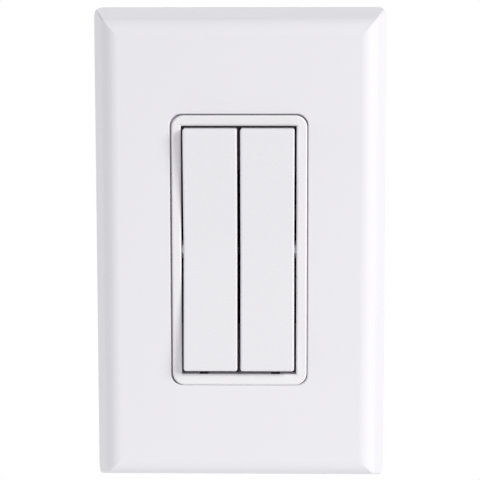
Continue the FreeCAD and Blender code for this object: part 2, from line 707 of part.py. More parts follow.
def contact_mat_left():
    return contact_mat_right().mirror(ORIGIN, ALONG_X)


# Generator
def core_yoke():
    bar = slab(YOKE_WIDTH, 2 * POLE_Z + POLE_LENGTH, YOKE_DEPTH, YOKE_FRONT)
    pole = slab(YOKE_WIDTH, POLE_LENGTH, YOKE_DEPTH, POLE_FACE_DEPTH, z=POLE_Z)
    return join(bar, *up_and_down(pole))


def around_yoke(side, thick, z0, z1):
    """Block that wraps the yoke bar by one amount at its sides and another front and back."""
    half = YOKE_WIDTH / 2 + side
    return block(-half, half, YOKE_DEPTH - thick, YOKE_FRONT + thick, z0, z1)


def coil_bobbin_upper():
    z0 = COIL_START_Z
    z1 = COIL_START_Z + COIL_LENGTH
    side = BOBBIN_CORE + WINDING_SIDE + BOBBIN_RIM
    thick = BOBBIN_CORE + WINDING_THICK + BOBBIN_RIM
    spool = join(
        around_yoke(BOBBIN_CORE, BOBBIN_CORE, z0, z1),
        around_yoke(side, thick, z0, z0 + BOBBIN_FLANGE),
        around_yoke(side, thick, z1 - BOBBIN_FLANGE, z1),
    )
    return cut(spool, around_yoke(0.0, 0.0, z0, z1))


def coil_winding_upper():
    z0 = COIL_START_Z + BOBBIN_FLANGE
    z1 = COIL_START_Z + COIL_LENGTH - BOBBIN_FLANGE
    coil = around_yoke(BOBBIN_CORE + WINDING_SIDE, BOBBIN_CORE + WINDING_THICK, z0, z1)
    corners = [e for e in coil.Edges if e.BoundBox.ZLength > WINDING_THICK]
    coil = coil.makeFillet(WINDING_THICK, corners)
    return cut(coil, around_yoke(BOBBIN_CORE, BOBBIN_CORE, z0, z1))


def coil_bobbin_lower():
    return coil_bobbin_upper().mirror(ORIGIN, ALONG_Z)


def coil_winding_lower():
    return coil_winding_upper().mirror(ORIGIN, ALONG_Z)


def magnet():
    return slab(YOKE_WIDTH, MAGNET_LENGTH, YOKE_FRONT, YOKE_FRONT + MAGNET_THICK)


def armature_pin():
    return axle(PIN_R, -PIN_HALF, PIN_HALF, ARMATURE_DEPTH)


def rivet_shanks(radius):
    return up_and_down(rod(radius, ARMATURE_DEPTH, BOW_FRONT, 0, RIVET_Z))


def armature():
    beam = slab(ARMATURE_WIDTH, 2 * ARMATURE_HALF, ARMATURE_DEPTH, ARMATURE_FRONT)
    seat = slab(ARMATURE_SEAT_WIDTH, 2 * ARMATURE_SEAT_HALF, ARMATURE_DEPTH, ARMATURE_FRONT)
    hub = slab(ARMATURE_SEAT_WIDTH, 2 * HUB_HALF, ARMATURE_DEPTH - HUB_DROP, ARMATURE_FRONT)
    bore = axle(PIN_R + PIN_FIT, -ARMATURE_SEAT_WIDTH, ARMATURE_SEAT_WIDTH, ARMATURE_DEPTH)
    return cut(join(beam, seat, hub), bore, *rivet_shanks(RIVET_R + RIVET_FIT))


def energy_bow():
    """Leaf spring in the shape of an H; its fingers rise to meet the rockers' feet."""
    x0 = FINGER_X - FINGER_WIDTH / 2
    middle = slab(2 * (FINGER_X + FINGER_WIDTH / 2), 2 * BOW_HALF, ARMATURE_FRONT, BOW_FRONT)
    upper = [
        (0.0, BOW_FRONT),
        (FINGER_BEND_Z, BOW_FRONT),
        (FINGER_TIP_START, FINGER_TIP_DEPTH),
        (FINGER_TIP_END, FINGER_TIP_DEPTH),
    ]
    outline = [point(x0, depth, z) for z, depth in upper]
    outline += [point(x0, depth - BOW_THICK, z) for z, depth in reversed(upper)]
    finger = face_from(outline).extrude(ALONG_X * FINGER_WIDTH)
    bow = join(middle, *four_quarters(finger))
    return cut(bow, *rivet_shanks(RIVET_R + RIVET_FIT))


def bow_rivets():
    head = rod(RIVET_HEAD_R, BOW_FRONT, BOW_FRONT + RIVET_HEAD_HEIGHT, 0, RIVET_Z)
    shank = rod(RIVET_R, ARMATURE_DEPTH, BOW_FRONT, 0, RIVET_Z)
    return Part.makeCompound(up_and_down(join(head, shank)))


PIECES = (
    wall_plate, mounting_plate, rocker_frame, frame_screws, rocker_left, rocker_right,
    module_tray, module_cover, circuit_board, radio_chip, storage_capacitors, rectifier, crystal, antenna,
    contact_mat_left, contact_mat_right, core_yoke, coil_bobbin_upper, coil_bobbin_lower,
    coil_winding_upper, coil_winding_lower, magnet, armature_pin, armature, energy_bow, bow_rivets,
)

os.makedirs("parts", exist_ok=True)
for piece in PIECES:
    shape = piece()
    shape.exportStep("parts/" + piece.__name__ + ".step")
    box = shape.BoundBox
    print(f"{piece.__name__}: {len(shape.Solids)} solid, {shape.Volume:.1f} mm3, valid {shape.isValid()}, "
          f"{box.XLength:.2f} x {box.YLength:.2f} x {box.ZLength:.2f} mm")
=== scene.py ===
# %% [markdown]
# # A two-rocker wireless wall switch
# The solids of the switch come in as a fixed frame, in metres: the wall is the plane y = 0, the room is
# towards -Y and +Z is up. The lesson dresses those solids and never moves them. First come the finishes,
# then the pieces, and last the light and the camera.

# %% Load the frame
import json
import math

import bmesh
import bpy
from mathutils import Matrix, Vector


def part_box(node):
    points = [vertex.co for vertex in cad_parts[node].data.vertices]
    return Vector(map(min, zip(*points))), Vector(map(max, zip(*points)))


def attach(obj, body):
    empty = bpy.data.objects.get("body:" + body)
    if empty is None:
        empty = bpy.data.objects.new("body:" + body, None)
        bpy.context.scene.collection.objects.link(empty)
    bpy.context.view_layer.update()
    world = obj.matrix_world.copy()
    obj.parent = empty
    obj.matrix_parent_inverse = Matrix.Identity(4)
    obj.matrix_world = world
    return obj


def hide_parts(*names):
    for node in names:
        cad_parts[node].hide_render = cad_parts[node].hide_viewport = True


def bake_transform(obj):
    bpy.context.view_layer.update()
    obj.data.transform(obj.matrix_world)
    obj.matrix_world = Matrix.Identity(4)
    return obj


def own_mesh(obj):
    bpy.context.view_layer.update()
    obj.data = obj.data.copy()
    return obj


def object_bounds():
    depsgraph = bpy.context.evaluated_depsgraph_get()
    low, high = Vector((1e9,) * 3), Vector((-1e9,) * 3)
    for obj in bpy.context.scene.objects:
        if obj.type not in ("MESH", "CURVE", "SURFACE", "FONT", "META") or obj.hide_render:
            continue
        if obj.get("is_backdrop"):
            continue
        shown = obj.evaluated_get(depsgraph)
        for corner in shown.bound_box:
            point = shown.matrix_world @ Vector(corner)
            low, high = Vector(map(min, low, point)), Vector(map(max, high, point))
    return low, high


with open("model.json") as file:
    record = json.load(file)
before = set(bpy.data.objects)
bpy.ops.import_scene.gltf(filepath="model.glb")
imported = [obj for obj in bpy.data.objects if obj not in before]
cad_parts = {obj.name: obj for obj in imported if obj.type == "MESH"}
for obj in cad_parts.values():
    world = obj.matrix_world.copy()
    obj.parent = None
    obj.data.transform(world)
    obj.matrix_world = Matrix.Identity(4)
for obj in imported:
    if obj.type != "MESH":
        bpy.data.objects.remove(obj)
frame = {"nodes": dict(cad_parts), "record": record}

cad_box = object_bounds()
nodes = frame["nodes"]
print("nodes in the frame:", len(nodes))

# %% [markdown]
# ## One way to write a node tree
# Shaders and Geometry Nodes are both chains of nodes. Adding one always takes the same steps: make it,
# set its options, and fill or link its inputs. One small function does that for every kind, so each
# finish and each grown piece below reads as a list. Colours are written as a colour picker shows them and
# are turned to linear light, and the scale of a pattern comes from its size in millimetres.

# %% Helpers for node trees
MM = 0.001


def add(tree, kind, inputs=None, **options):
    """One node with its options, and each input either set or linked from another node's output."""
    made = tree.nodes.new(kind)
    for name, value in options.items():
        setattr(made, name, value)
    for name, value in (inputs or {}).items():
        if isinstance(value, bpy.types.NodeSocket):
            tree.links.new(value, made.inputs[name])
        else:
            made.inputs[name].default_value = value
    return made


def linear(code):
    """sRGB hex to the linear values that a shader works in."""
    parts = [int(code[i:i + 2], 16) / 255 for i in (1, 3, 5)]
    return [c / 12.92 if c <= 0.04045 else ((c + 0.055) / 1.055) ** 2.4 for c in parts] + [1.0]


def new_material(name):
    """An empty material and its tree."""
    material = bpy.data.materials.new(name)
    material.use_nodes = True
    material.node_tree.nodes.clear()
    print("finish:", name)
    return material, material.node_tree


def per_mm(size):
    """Texture scale at which one feature is about this many millimetres across."""
    return 1 / (size * MM)


print("middle grey in linear light:", round(linear("#808080")[0], 3))

# %% [markdown]
# ## Moulded plastic
# Nearly all that shows is injection-moulded. The tool is etched or polished, so the skin has a fine
# grain, and the melt cools a little unevenly, so the tone drifts by a hair over a few centimetres. An
# image could carry both, but two noises do it at any distance: a fine one for relief and gloss, a broad
# one for tone.

# %% Moulded plastic as a recipe
TONE_DRIFT_MM = 28
TONE_DETAIL = 2.0
GRAIN_DETAIL = 3.0
NOISE_LOW = 0.3
NOISE_HIGH = 0.7
GLOSS_SWING = 0.01


def moulded(name, colour, drift, roughness, grain_mm, relief_mm, ior=1.53, shine=0.5):
    """Plastic from a steel tool: colour, the tone it drifts to, gloss, and its grain's size and depth."""
    material, tree = new_material(name)
    place = add(tree, "ShaderNodeTexCoord").outputs["Object"]
    broad = add(tree, "ShaderNodeTexNoise", {
        "Vector": place, "Scale": per_mm(TONE_DRIFT_MM), "Detail": TONE_DETAIL})
    grain = add(tree, "ShaderNodeTexNoise", {
        "Vector": place, "Scale": per_mm(grain_mm), "Detail": GRAIN_DETAIL})
    tone = add(tree, "ShaderNodeMix", {
        "Factor": broad.outputs["Fac"], "A": linear(colour), "B": linear(drift)}, data_type="RGBA")
    gloss = add(tree, "ShaderNodeMapRange", {
        "Value": grain.outputs["Fac"], "From Min": NOISE_LOW, "From Max": NOISE_HIGH,
        "To Min": roughness - GLOSS_SWING, "To Max": roughness + GLOSS_SWING})
    bump = add(tree, "ShaderNodeBump", {
        "Height": grain.outputs["Fac"], "Strength": 1.0, "Distance": relief_mm * MM})
    shader = add(tree, "ShaderNodeBsdfPrincipled", {
        "Base Color": tone.outputs["Result"], "Roughness": gloss.outputs["Result"], "IOR": ior,
        "Specular IOR Level": shine, "Normal": bump.outputs["Normal"]})
    add(tree, "ShaderNodeOutputMaterial", {"Surface": shader.outputs["BSDF"]})
    return material


print("tone drifts over", TONE_DRIFT_MM, "mm")

# %% [markdown]
# ## White plastics
# The plate is etched to a soft satin, which hides wear. The bezel and the rockers come from a smoother
# tool. One white could serve for all, but then the pieces would melt into each other, so each has its own
# tone and gloss. A real etch is about 0.03 mm, too fine to show, so the grain is drawn about ten times as
# coarse.

# %% White plastics
# Etched satin: a cool, even white whose rolled edges shade softly and never mirror.
plate_plastic = moulded(
    "polycarbonate_blend_white_etched_satin", "#EAE9EF", "#E9E8EE", 0.50, 0.35, 0.002, shine=0.3)
# Smoother tool: a touch whiter than the plate, with a thin bright rim on its rounded edges.
bezel_plastic = moulded(
    "polycarbonate_blend_white_smooth_bezel", "#EDECF0", "#EBEAEE", 0.30, 0.35, 0.001)
# Same smooth tool, more neutral tone: plain broad paddles with a glint along the edge that faces the light.
rocker_plastic = moulded(
    "polycarbonate_blend_white_smooth_rocker", "#E9E8ED", "#E8E7EC", 0.28, 0.30, 0.0005)
# Plain tool and no colouring: a warmer, duller white that tells the hidden plate from the trim.
mount_plastic = moulded("abs_natural_white_plain_moulded", "#DEDDDB", "#D6D5D1", 0.50, 0.50, 0.012)

# %% [markdown]
# ## Plastics, rubber and ceramic inside
# The transmitter's tray is dark grey. Its cover is painted near black as painted shade, so that the gaps
# round the rockers read as black as the shade deep in them. The small parts have the colours that such
# parts usually have: black epoxy, tan ceramic, green lacquer and cloudy rubber. Hardly any of them shows
# from outside, so they share the recipe of the trim and differ only in its numbers.

# %% Plastics, rubber and ceramic inside
# Glass-filled tray: dark grey with a coarse dull skin.
tray_plastic = moulded("pbt_glass_filled_dark_grey_moulded", "#3A3B3E", "#35363A", 0.55, 0.40, 0.008)
# Cover and pivot ear: near black, a painted shade for the gaps round the rockers, so that they read as
# black.
cover_painted_gap_shade = moulded(
    "pbt_black_painted_gap_shade", "#08080A", "#0D0D0F", 0.60, 0.40, 0.008, shine=0.1)
# Uncoloured bobbin: warm cream, slightly waxy.
bobbin_plastic = moulded("polyester_natural_moulded", "#D9CFB4", "#CFC4A6", 0.50, 0.30, 0.004)
# Contact mat: cloudy grey and matt, softer looking than the hard plastics.
silicone = moulded(
    "silicone_rubber_cloudy_grey_moulded", "#C6C7C8", "#B9BABC", 0.60, 0.50, 0.004, ior=1.41)
# Chip and rectifier cases: near black with a sandy, blasted skin.
epoxy = moulded("epoxy_black_transfer_moulded", "#1C1C1E", "#252527", 0.50, 0.12, 0.004)
# Capacitor bodies: tan, fired, with a faint sheen.
ceramic = moulded("barium_titanate_ceramic_fired", "#B98F63", "#A87E55", 0.45, 0.10, 0.003)
# Board: deep green lacquer over glass cloth, glossy with a faint weave-like mottle.
solder_mask = moulded(
    "glass_laminate_green_lacquered", "#1E6B3C", "#185A32", 0.35, 0.60, 0.004, ior=1.5)
# Track: copper seen through the lacquer, a lighter green.
track_copper = moulded("copper_track_under_lacquer", "#3C8C55", "#34804C", 0.32, 0.40, 0.002, ior=1.5)

# %% [markdown]
# ## Metals
# The metal pieces are rolled, ground, plated or upset. Rolling leaves fine streaks along the strip, and
# plating a faint grain. Anisotropic shading could show streaks on large sheets; these pieces are small,
# so one noise, stretched or not, drives their tone, gloss and relief. It is drawn coarser than life, to
# show.

# %% Metal as a recipe
STREAK_DETAIL = 4.0
STREAK_RELIEF_MM = 0.002
METAL_SWING = 0.08


def metal(name, colour, drift, roughness, streak_mm, stretch):
    """Bare or plated metal: stretch says how many times longer its streaks are along Z than across."""
    material, tree = new_material(name)
    place = add(tree, "ShaderNodeTexCoord").outputs["Object"]
    drawn = add(tree, "ShaderNodeMapping", {"Vector": place, "Scale": (1.0, 1.0, 1.0 / stretch)})
    streak = add(tree, "ShaderNodeTexNoise", {
        "Vector": drawn.outputs["Vector"], "Scale": per_mm(streak_mm), "Detail": STREAK_DETAIL})
    tone = add(tree, "ShaderNodeMix", {
        "Factor": streak.outputs["Fac"], "A": linear(colour), "B": linear(drift)}, data_type="RGBA")
    gloss = add(tree, "ShaderNodeMapRange", {
        "Value": streak.outputs["Fac"], "From Min": NOISE_LOW, "From Max": NOISE_HIGH,
        "To Min": roughness - METAL_SWING, "To Max": roughness + METAL_SWING})
    bump = add(tree, "ShaderNodeBump", {
        "Height": streak.outputs["Fac"], "Strength": 1.0, "Distance": STREAK_RELIEF_MM * MM})
    shader = add(tree, "ShaderNodeBsdfPrincipled", {
        "Base Color": tone.outputs["Result"], "Roughness": gloss.outputs["Result"], "Metallic": 1.0,
        "Normal": bump.outputs["Normal"]})
    add(tree, "ShaderNodeOutputMaterial", {"Surface": shader.outputs["BSDF"]})
    return material


print("streaks are", STREAK_RELIEF_MM, "mm deep")

# %% Metals
# Screws: pale zinc, slightly clouded.
zinc = metal("steel_zinc_plated", "#C9C8C2", "#B9B8B0", 0.32, 0.30, 1.0)
# Yoke and armature: dull grey with rolling streaks, no shine.
soft_iron = metal("soft_iron_annealed", "#8F8F92", "#7F7F83", 0.45, 0.15, 12.0)
# Magnet: bright and a little warm.
nickel = metal("nickel_plated_sintered_magnet", "#D2CEC4", "#C4C0B6", 0.22, 0.40, 1.0)
# Pin: clean grey that catches a narrow highlight.
ground_steel = metal("steel_ground_pin", "#BDBDC0", "#AEAEB2", 0.25, 0.10, 1.0)
# Leaf spring: cool strip with long fine streaks.
spring_steel = metal("stainless_spring_strip_rolled", "#C2C2C4", "#B0B0B3", 0.30, 0.12, 20.0)
# Rivets: warm yellow.
brass = metal("brass_upset", "#C9A45A", "#B8924A", 0.30, 0.20, 1.0)
# Wire: red-brown and glossy under its enamel.
copper = metal("copper_enamelled_wire", "#B5622F", "#A25325", 0.28, 0.20, 1.0)
# Antenna, solder and end caps: soft silver-grey.
tin = metal("copper_tinned", "#C8C4B8", "#B8B3A6", 0.35, 0.20, 4.0)
# Crystal can: smooth pale silver.
can_steel = metal("steel_plated_drawn_can", "#CBC9C3", "#BDBBB5", 0.28, 0.30, 1.0)

# %% [markdown]
# ## Dress the solids
# The frame's meshes are loose triangles. The pieces could be modelled again, but a copy keeps the true
# shape: it is welded, its flat areas are merged, and it is shaded smooth up to a crease angle, with
# normals weighted by area so that flat faces stay flat up to their rounded edges. The copy stands for its
# node. On the trim, a live bevel breaks the sharp edges by a tenth of a millimetre or so, as every
# moulding's edges are: without that no edge would catch the light.

# %% Copies of the solids
WELD = 1e-6
FLAT = math.radians(0.2)
CREASE = math.radians(32)


def welded(node):
    """A copy of a node's mesh as one closed skin."""
    mesh = nodes[node].data.copy()
    build = bmesh.new()
    build.from_mesh(mesh)
    bmesh.ops.remove_doubles(build, verts=build.verts, dist=WELD)
    bmesh.ops.dissolve_limit(build, angle_limit=FLAT, verts=build.verts, edges=build.edges)
    build.to_mesh(mesh)
    build.free()
    if mesh.has_custom_normals:
        mesh.normals_split_custom_set([(0, 0, 0)] * len(mesh.loops))
    mesh.materials.clear()
    return mesh


def creased(mesh):
    """Smooth shading that stops at edges sharper than the crease angle."""
    build = bmesh.new()
    build.from_mesh(mesh)
    for edge in build.edges:
        edge.smooth = edge.is_manifold and edge.calc_face_angle(0.0) < CREASE
    for face in build.faces:
        face.smooth = True
    build.to_mesh(mesh)
    build.free()


print("crease angle:", round(math.degrees(CREASE)), "degrees")

# %% Pieces on their bodies
EDGE_STEPS = 3
FACE_WEIGHT = 100
bodies = frame["record"]["behaviour"]["bodies"]
body_of = {node: body for body, names in bodies.items() for node in names}


def placed(name, mesh):
    """An object for a mesh, at the origin."""
    piece = bpy.data.objects.new(name, mesh)
    bpy.context.scene.collection.objects.link(piece)
    return piece


def finished(piece, round_mm=0.0):
    """Edges broken by this radius, and normals that keep flat faces flat."""
    if round_mm:
        soften = piece.modifiers.new("soften", "BEVEL")
        soften.width = round_mm * MM
        soften.segments = EDGE_STEPS
        soften.limit_method = "ANGLE"
        soften.angle_limit = CREASE
    weigh = piece.modifiers.new("weigh", "WEIGHTED_NORMAL")
    weigh.keep_sharp = True
    weigh.weight = FACE_WEIGHT


def stands_for(piece, node, round_mm=0.0):
    """Finish a piece that takes a node's place and rides on its body."""
    finished(piece, round_mm)
    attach(piece, body_of[node])
    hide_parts(node)


# %% Dress the plain pieces
# The module cover carries the near-black painted shade of the gaps round the rockers.
finish_of = {
    "wall_plate": plate_plastic, "rocker_frame": bezel_plastic, "rocker_left": rocker_plastic,
    "rocker_right": rocker_plastic, "module_tray": tray_plastic, "module_cover": cover_painted_gap_shade,
    "circuit_board": solder_mask, "radio_chip": epoxy, "rectifier": epoxy, "crystal": can_steel,
    "antenna": tin, "contact_mat_left": silicone, "contact_mat_right": silicone, "core_yoke": soft_iron,
    "coil_bobbin_upper": bobbin_plastic, "coil_bobbin_lower": bobbin_plastic, "magnet": nickel,
    "armature_pin": ground_steel, "armature": soft_iron,
}
rounding_mm = {"wall_plate": 0.1, "rocker_frame": 0.12, "rocker_left": 0.15, "rocker_right": 0.15}
dressed = {}
for node, finish in finish_of.items():
    skin = welded(node)
    skin.materials.append(finish)
    creased(skin)
    dressed[node] = placed(node + "_skin", skin)
    stands_for(dressed[node], node, rounding_mm.get(node, 0.0))
print("dressed:", len(dressed))

# %% [markdown]
# ## Pieces that give way
# A pressed rocker squashes a silicone nipple under its rib and bends a finger of the leaf spring under
# its foot. Stiff copies would be cut through. Each contact mat gets a mesh of its own, the middle rides
# on the armature, and each finger is cut off as a piece of its own, sliced across at even steps along
# its length. The slit at a root only leaves room for the armature's own small tilt.

# %% Contact mats with meshes of their own
for side in ("left", "right"):
    mat = "contact_mat_" + side
    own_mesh(dressed[mat])

# %% Parts of the leaf spring
FINGER_ROOT_MM = 3.0
FINGER_TIP_MM = 13.6
FINGER_STEP_MM = 1.2


def sliced(build, point, normal, **options):
    """Cut a whole mesh along a plane."""
    everything = build.verts[:] + build.edges[:] + build.faces[:]
    return bmesh.ops.bisect_plane(build, geom=everything, plane_co=point, plane_no=normal, **options)


def spring_part(name, planes):
    """What lies behind every plane, a normal and its distance in millimetres, closed where it is cut."""
    mesh = welded("energy_bow")
    build = bmesh.new()
    build.from_mesh(mesh)
    for normal, distance in planes:
        cut = sliced(build, Vector(normal) * distance * MM, normal, clear_outer=True)
        rim = [part for part in cut["geom_cut"] if isinstance(part, bmesh.types.BMEdge)]
        bmesh.ops.holes_fill(build, edges=rim)
    height = FINGER_ROOT_MM
    while height < FINGER_TIP_MM:
        height += FINGER_STEP_MM
        for z in (height, -height):
            sliced(build, (0, 0, z * MM), (0, 0, 1))
    bmesh.ops.recalc_face_normals(build, faces=build.faces)
    build.to_mesh(mesh)
    build.free()
    mesh.materials.append(spring_steel)
    creased(mesh)
    print(name, "faces:", len(mesh.polygons))
    return placed(name, mesh)


middle = spring_part("energy_bow_middle", [((0, 0, 1), FINGER_ROOT_MM), ((0, 0, -1), FINGER_ROOT_MM)])
stands_for(middle, "energy_bow")

# %% Fingers as pieces of their own
FINGER_SLIT_MM = 0.06
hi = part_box("energy_bow")[1]
for side, sign in (("left", -1), ("right", 1)):
    for end, way in (("lower", -1), ("upper", 1)):
        planes = [((0, 0, -way), -FINGER_ROOT_MM - FINGER_SLIT_MM), ((-sign, 0, 0), 0.0)]
        finger = spring_part("energy_bow_finger_" + end + "_" + side, planes)
        finished(finger)
        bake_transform(finger)

# %% [markdown]
# ## Capacitor end caps
# A chip capacitor is a ceramic brick whose two ends are dipped in metal and tinned. Thin caps could be
# laid over the brick, but they would stand proud of it. The cap is part of the surface, so the copy is
# cut across at the cap's depth and the faces beyond the cut change material.

# %% Capacitors with end caps
CAP_MM = 0.5
lo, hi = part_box("storage_capacitors")
bricks = welded("storage_capacitors")
build = bmesh.new()
build.from_mesh(bricks)
cuts = (lo[0] + CAP_MM * MM, hi[0] - CAP_MM * MM)
for x in cuts:
    sliced(build, (x, 0, 0), (1, 0, 0))
for face in build.faces:
    face.material_index = int(not cuts[0] < face.calc_center_median().x < cuts[1])
build.to_mesh(bricks)
build.free()
bricks.materials.append(ceramic)
bricks.materials.append(tin)
creased(bricks)
stands_for(placed("storage_capacitors_skin", bricks), "storage_capacitors")
print("capacitor faces:", len(bricks.polygons))

# %% [markdown]
# ## Pieces that follow a rule
# Wire turns, screws, rivets, marks and solder repeat. A loop could place copies, but Geometry Nodes keep
# each rule in one tree with named sizes: it takes a start mesh, repeats or cuts it, and ends by making
# the copies real. The result is kept as a plain mesh.

# %% Helpers for grown pieces
SOCKETS = {int: "NodeSocketInt", float: "NodeSocketFloat", tuple: "NodeSocketVector"}


def new_tree(name, sizes):
    """A tree that takes a start mesh and these named sizes, and its inputs."""
    tree = bpy.data.node_groups.new(name, "GeometryNodeTree")
    tree.interface.new_socket("Start", in_out="INPUT", socket_type="NodeSocketGeometry")
    for label, value in sizes.items():
        tree.interface.new_socket(label, in_out="INPUT", socket_type=SOCKETS[type(value)])
    tree.interface.new_socket("Mesh", in_out="OUTPUT", socket_type="NodeSocketGeometry")
    print(name, "sizes:", list(sizes))
    return tree, add(tree, "NodeGroupInput").outputs


def end_tree(tree, geometry, material):
    """Make the copies real, give them their finish and hand them out."""
    real = add(tree, "GeometryNodeRealizeInstances", {"Geometry": geometry})
    skin = add(tree, "GeometryNodeSetMaterial", {
        "Geometry": real.outputs["Geometry"], "Material": material})
    add(tree, "NodeGroupOutput", {"Mesh": skin.outputs["Geometry"]})


def grown(name, start, tree, sizes):
    """Run a tree on a start mesh with these sizes and keep what comes out as a plain mesh."""
    piece = placed(name, start)
    run = piece.modifiers.new("grow", "NODES")
    run.node_group = tree
    for item in tree.interface.items_tree:
        if item.name in sizes:
            run[item.identifier] = sizes[item.name]
    plain = bpy.data.meshes.new_from_object(piece.evaluated_get(bpy.context.evaluated_depsgraph_get()))
    piece.modifiers.remove(run)
    piece.data = plain
    creased(plain)
    print(name, "faces:", len(plain.polygons))
    return piece


print("kinds of size:", len(SOCKETS))

# %% [markdown]
# ## Coil windings
# Each half of the generator carries a coil of enamelled wire, wound in layers on its bobbin. Only the
# outer layer shows. It could be one long spiral, but level turns side by side look the same. One turn is
# a rounded rectangle swept by a small circle and set up the coil at the wire's pitch, over the solid coil
# drawn in by half a wire. Real wire of 0.06 mm is too fine to show, so it is drawn at 0.3 mm.

# %% Sizes of a coil
WIRE_MM = 0.3
COIL_CORNER_MM = 0.5


def coil_sizes(node):
    """What the tree needs to wind one coil, from the box of its solid."""
    lo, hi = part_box(node)
    wire = WIRE_MM * MM
    return {
        "Width": hi[0] - lo[0], "Depth": hi[1] - lo[1], "Corner": COIL_CORNER_MM * MM, "Wire": wire,
        "Turns": round((hi[2] - lo[2]) / wire),
        "First": ((lo[0] + hi[0]) / 2, (lo[1] + hi[1]) / 2, lo[2] + wire / 2),
    }


coils = {node: coil_sizes(node) for node in ("coil_winding_upper", "coil_winding_lower")}
print("turns:", [sizes["Turns"] for sizes in coils.values()])

# %% One turn of wire
CORNER_STEPS = 3
WIRE_SIDES = 6
tree, given = new_tree("wound_wire", coils["coil_winding_upper"])
thin = add(tree, "ShaderNodeMath", {0: given["Wire"], 1: 0.5}, operation="MULTIPLY").outputs[0]
drawn_in = add(tree, "ShaderNodeMath", {0: given["Wire"], 1: -0.5}, operation="MULTIPLY").outputs[0]
inner = [add(tree, "ShaderNodeMath", {0: given[side], 1: given["Wire"]}, operation="SUBTRACT").outputs[0]
         for side in ("Width", "Depth")]
bend = add(tree, "ShaderNodeMath", {0: given["Corner"], 1: drawn_in}, operation="ADD").outputs[0]
path = add(tree, "GeometryNodeCurvePrimitiveQuadrilateral", {"Width": inner[0], "Height": inner[1]})
path = add(tree, "GeometryNodeFilletCurve", {
    "Curve": path.outputs["Curve"], "Radius": bend, "Count": CORNER_STEPS}, mode="POLY")
wire = add(tree, "GeometryNodeCurvePrimitiveCircle", {"Resolution": WIRE_SIDES, "Radius": thin})
turn = add(tree, "GeometryNodeCurveToMesh", {
    "Curve": path.outputs["Curve"], "Profile Curve": wire.outputs["Curve"]})

# %% Coil windings
pitch = add(tree, "ShaderNodeCombineXYZ", {"Z": given["Wire"]})
column = add(tree, "GeometryNodeMeshLine", {
    "Count": given["Turns"], "Start Location": given["First"], "Offset": pitch.outputs["Vector"]})
turns = add(tree, "GeometryNodeInstanceOnPoints", {
    "Points": column.outputs["Mesh"], "Instance": turn.outputs["Mesh"]})
normal = add(tree, "GeometryNodeInputNormal").outputs["Normal"]
inward = add(tree, "ShaderNodeVectorMath", {0: normal, "Scale": drawn_in}, operation="SCALE")
core = add(tree, "GeometryNodeSetPosition", {
    "Geometry": given["Start"], "Offset": inward.outputs["Vector"]})
whole = add(tree, "GeometryNodeJoinGeometry", {"Geometry": core.outputs["Geometry"]})
tree.links.new(turns.outputs["Instances"], whole.inputs["Geometry"])
end_tree(tree, whole.outputs["Geometry"], copper)
for node, sizes in coils.items():
    stands_for(grown(node + "_wire", welded(node), tree, sizes), node)

# %% [markdown]
# ## Frame screws
# Two self-tapping screws hold the rocker frame from behind. A pan head is a turned shape: stacked
# cylinders would leave steps, so its half outline is spun round the axis. The tree cuts the cross recess,
# sweeps a diamond along a spiral for the thread, and sets a copy at each post.

# %% A turned blank
SPIN_STEPS = 32
ROUND_STEPS = 4
QUARTER_TURN = math.pi / 2


def rounded(inner, outer, end, side):
    """A quarter of an ellipse, from the inner radius at one depth to the outer radius at another."""
    turns = [QUARTER_TURN * i / ROUND_STEPS for i in range(ROUND_STEPS + 1)]
    return [(inner + (outer - inner) * math.sin(t), side + (end - side) * math.cos(t)) for t in turns]


def turned(name, outline):
    """Spin (radius, depth) points in millimetres, from the middle of one end to the other, round Y."""
    build = bmesh.new()
    points = [build.verts.new((radius * MM, depth * MM, 0.0)) for radius, depth in outline]
    edges = [build.edges.new(pair) for pair in zip(points, points[1:])]
    bmesh.ops.spin(build, geom=points + edges, cent=(0, 0, 0), axis=(0, 1, 0), angle=math.tau,
                   steps=SPIN_STEPS, use_merge=True)
    bmesh.ops.remove_doubles(build, verts=build.verts, dist=WELD)
    bmesh.ops.recalc_face_normals(build, faces=build.faces)
    mesh = bpy.data.meshes.new(name)
    build.to_mesh(mesh)
    build.free()
    print(name, "faces:", len(mesh.polygons))
    return mesh


print("steps round a turned piece:", SPIN_STEPS)

# %% Screw blank, sizes in millimetres
lo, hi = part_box("frame_screws")
HEAD_R = hi[0] / MM
HEAD_FLAT_R = 1.2
HEAD_ROUND = 0.75
HEAD_HIGH = 1.1
ROOT_R = 0.85
POINT_R = 0.4
POINT = 0.5
LONG = (hi[1] - lo[1]) / MM
head = [(0, 0), *rounded(HEAD_FLAT_R, HEAD_R, 0, -HEAD_ROUND), (HEAD_R, -HEAD_HIGH)]
shank = [(ROOT_R, -HEAD_HIGH), (ROOT_R, POINT - LONG), (POINT_R, -LONG), (0, -LONG)]
screw_blank = turned("screw_blank", head + shank)

# %% Screw tree, sizes in millimetres
THREAD_R = 1.1
THREAD_PITCH = 0.8
THREAD_GAP = 0.2
THREAD_SHORT = 0.6
THREAD_RUN = LONG - HEAD_HIGH - THREAD_SHORT
RECESS_WIDE = 2.3
RECESS_DEEP = 0.65
RECESS_SLOT = 0.5
screw_sizes = {
    "First": (0.0, hi[1], lo[2] + HEAD_R * MM), "Step": (0.0, 0.0, hi[2] - lo[2] - 2 * HEAD_R * MM),
    "Arm": (RECESS_WIDE * MM, 2 * RECESS_DEEP * MM, RECESS_SLOT * MM), "Root": ROOT_R * MM,
    "Crest": (THREAD_R - ROOT_R) * MM, "Run": THREAD_RUN * MM, "Turns": THREAD_RUN / THREAD_PITCH,
}
tree, given = new_tree("cross_recess_screws", screw_sizes)
arm = add(tree, "GeometryNodeMeshCube", {"Size": given["Arm"]})
crossing = add(tree, "GeometryNodeTransform", {
    "Geometry": arm.outputs["Mesh"], "Rotation": (0.0, QUARTER_TURN, 0.0)})
recess = add(tree, "GeometryNodeMeshBoolean", {
    "Mesh 1": given["Start"]}, operation="DIFFERENCE", solver="EXACT")
